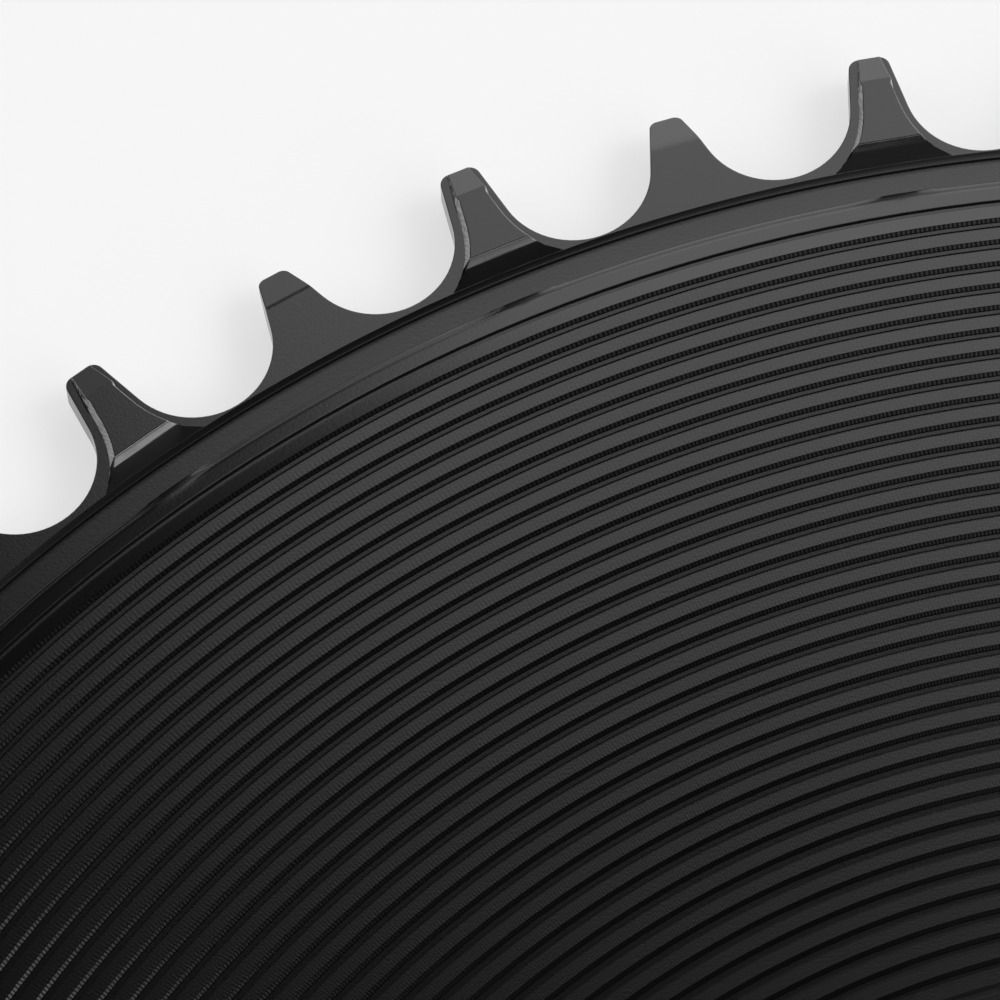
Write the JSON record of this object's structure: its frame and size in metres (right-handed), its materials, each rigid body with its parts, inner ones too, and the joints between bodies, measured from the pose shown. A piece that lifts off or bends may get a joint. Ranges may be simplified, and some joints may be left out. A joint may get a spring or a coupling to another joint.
{
  "type": "bicycle chainring",
  "caption": "Solid-disc bicycle chainring with alternating wide and narrow teeth, a shallow channel below them and a front turned with concentric grooves.",
  "frame": {"origin": "on the axis, in the plane of the flat back", "axes": "+Z along the axis, out of the grooved front; +X through the middle of a wide tooth and of a bolt hole"},
  "size_m": [0.217, 0.2156, 0.0037],
  "materials": {
    "black_anodised": "satin black anodised, finely turned"
  },
  "bodies": {
    "root": {"chainring": "black_anodised"}
  },
  "joints": []
}
